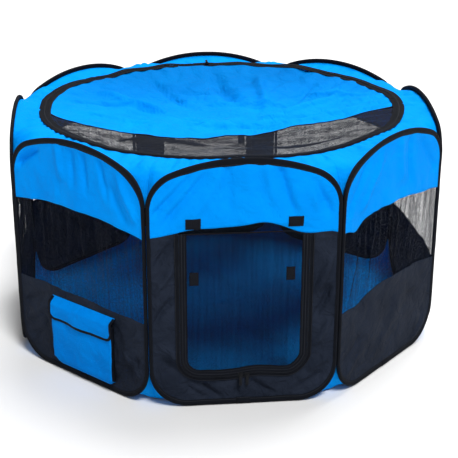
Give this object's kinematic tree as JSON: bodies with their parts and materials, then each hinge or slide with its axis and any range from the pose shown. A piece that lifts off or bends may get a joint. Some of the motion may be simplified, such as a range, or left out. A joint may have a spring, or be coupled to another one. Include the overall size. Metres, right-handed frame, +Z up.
{
  "type": "pet playpen",
  "caption": "Octagonal pop-up pet playpen with sprung hoop walls, zipped mesh doors, a zip-off roof lid, cloth floor and a flap pocket.",
  "frame": {"origin": "on the ground, under the middle of the octagon", "axes": "+Z up, front door towards -Y, +X to the right seen from the front"},
  "size_m": [1.1, 1.1036, 0.622],
  "materials": {
    "wire": "satin",
    "binding": "matte",
    "blue_cloth": "satin",
    "floor": "satin",
    "black_cloth": "matte",
    "mesh": "matte",
    "zip_tape": "matte",
    "hook_tape": "matte",
    "slider": "satin"
  },
  "bodies": {
    "front_wall": {"hoop_front": "wire", "sleeve_front": "binding", "upper_front": "blue_cloth", "lower_front": "black_cloth", "front_zip": "zip_tape", "front_wall_tabs": "hook_tape", "floor_cloth": "floor"},
    "front_right_wall": {"hoop_front_right": "wire", "sleeve_front_right": "binding", "upper_front_right": "blue_cloth", "lower_front_right": "black_cloth", "mesh_front_right": "mesh"},
    "right_wall": {"hoop_right": "wire", "sleeve_right": "binding", "upper_right": "blue_cloth", "lower_right": "black_cloth", "mesh_right": "mesh"},
    "back_right_wall": {"hoop_back_right": "wire", "sleeve_back_right": "binding", "upper_back_right": "blue_cloth", "lower_back_right": "black_cloth", "mesh_back_right": "mesh"},
    "back_wall": {"hoop_back": "wire", "sleeve_back": "binding", "upper_back": "blue_cloth", "lower_back": "black_cloth", "back_zip": "zip_tape", "back_wall_tabs": "hook_tape"},
    "back_left_wall": {"hoop_back_left": "wire", "sleeve_back_left": "binding", "upper_back_left": "blue_cloth", "lower_back_left": "black_cloth", "mesh_back_left": "mesh"},
    "left_wall": {"hoop_left": "wire", "sleeve_left": "binding", "upper_left": "blue_cloth", "lower_left": "black_cloth", "mesh_left": "mesh"},
    "front_left_wall": {"hoop_front_left": "wire", "sleeve_front_left": "binding", "upper_front_left": "blue_cloth", "lower_front_left": "black_cloth", "mesh_front_left": "mesh", "pocket_pouch": "blue_cloth"},
    "front_door": {"front_door_border": "black_cloth", "front_door_mesh": "mesh", "front_door_tabs": "hook_tape"},
    "front_slider_left": {"front_slider_left": "slider"},
    "front_slider_right": {"front_slider_right": "slider"},
    "back_door": {"back_door_border": "black_cloth", "back_door_mesh": "mesh", "back_door_tabs": "hook_tape"},
    "back_slider_left": {"back_slider_left": "slider"},
    "back_slider_right": {"back_slider_right": "slider"},
    "pocket_flap": {"pocket_flap": "blue_cloth"},
    "roof": {"roof_ring": "blue_cloth"},
    "lid": {"lid_cover": "blue_cloth", "lid_mesh": "mesh", "lid_zip": "zip_tape"},
    "lid_slider": {"lid_slider": "slider"}
  },
  "joints": [
    {"name": "fold", "type": "hinge", "parent": "front_wall", "child": "front_right_wall", "pos_m": [0.22343, -0.5394, 0.3], "axis": [0, 0, -1], "range_deg": [-133, 0], "deforming": ["roof_ring", "lid_cover", "lid_mesh", "lid_zip", "lid_slider", "floor_cloth"]},
    {"name": "seam_front_right__right", "type": "hinge", "parent": "front_right_wall", "child": "right_wall", "pos_m": [0.5506, -0.22807, 0.3], "axis": [0, 0, 1], "range_deg": [-221.68, 0]},
    {"name": "seam_right__back_right", "type": "hinge", "parent": "right_wall", "child": "back_right_wall", "pos_m": [0.5394, 0.22343, 0.3], "axis": [0, 0, -1], "range_deg": [-133.01, 0]},
    {"name": "seam_back_right__back", "type": "hinge", "parent": "back_right_wall", "child": "back_wall", "pos_m": [0.22575, 0.545, 0.3], "axis": [0, 0, 1], "range_deg": [-44.34, 0]},
    {"name": "seam_front__front_left", "type": "hinge", "parent": "front_wall", "child": "front_left_wall", "pos_m": [-0.22575, -0.545, 0.3], "axis": [0, 0, -1], "range_deg": [-44.34, 0]},
    {"name": "seam_front_left__left", "type": "hinge", "parent": "front_left_wall", "child": "left_wall", "pos_m": [-0.5394, -0.22343, 0.3], "axis": [0, 0, 1], "range_deg": [-133.01, 0]},
    {"name": "seam_left__back_left", "type": "hinge", "parent": "left_wall", "child": "back_left_wall", "pos_m": [-0.5506, 0.22807, 0.3], "axis": [0, 0, -1], "range_deg": [-221.68, 0]},
    {"name": "roof_gather", "type": "slide", "parent": "front_wall", "child": "roof", "axis": [1, 0, 0], "range_m": [-0.2226, 0]},
    {"name": "front_door_swing", "type": "hinge", "parent": "front_wall", "child": "front_door", "pos_m": [0, -0.545, 0.449], "axis": [-1, 0, 0], "range_deg": [0, 120]},
    {"name": "back_door_swing", "type": "hinge", "parent": "back_wall", "child": "back_door", "pos_m": [0, 0.545, 0.449], "axis": [1, 0, 0], "range_deg": [0, 120]},
    {"name": "front_slider_left_slide", "type": "slide", "parent": "front_wall", "child": "front_slider_left", "axis": [-1, 0, 0], "range_m": [0, 0.095]},
    {"name": "front_slider_right_slide", "type": "slide", "parent": "front_wall", "child": "front_slider_right", "axis": [1, 0, 0], "range_m": [0, 0.095]},
    {"name": "back_slider_left_slide", "type": "slide", "parent": "back_wall", "child": "back_slider_left", "axis": [1, 0, 0], "range_m": [0, 0.095]},
    {"name": "back_slider_right_slide", "type": "slide", "parent": "back_wall", "child": "back_slider_right", "axis": [-1, 0, 0], "range_m": [0, 0.095]},
    {"name": "pocket_flap_swing", "type": "hinge", "parent": "front_left_wall", "child": "pocket_flap", "pos_m": [-0.37774, -0.39471, 0.206], "axis": [-0.7071, 0.7071, 0], "range_deg": [0, 120]},
    {"name": "lid_swing", "type": "hinge", "parent": "roof", "child": "lid", "pos_m": [0, -0.4775, 0.5985], "axis": [1, 0, 0], "range_deg": [0, 110]},
    {"name": "lid_slider_run", "type": "hinge", "parent": "roof", "child": "lid_slider", "pos_m": [0, 0, 0.6], "axis": [0, 0, 1], "range_deg": [0, 330]}
  ],
  "couplings": [
    {"joint": "seam_front_right__right", "follows": "fold", "ratio": 1.6667},
    {"joint": "seam_right__back_right", "follows": "fold", "ratio": 1},
    {"joint": "seam_back_right__back", "follows": "fold", "ratio": 0.33333},
    {"joint": "seam_front__front_left", "follows": "fold", "ratio": 0.33333},
    {"joint": "seam_front_left__left", "follows": "fold", "ratio": 1},
    {"joint": "seam_left__back_left", "follows": "fold", "ratio": 1.6667},
    {"joint": "roof_gather", "follows": "fold", "m_per_rad": 0.09581}
  ]
}
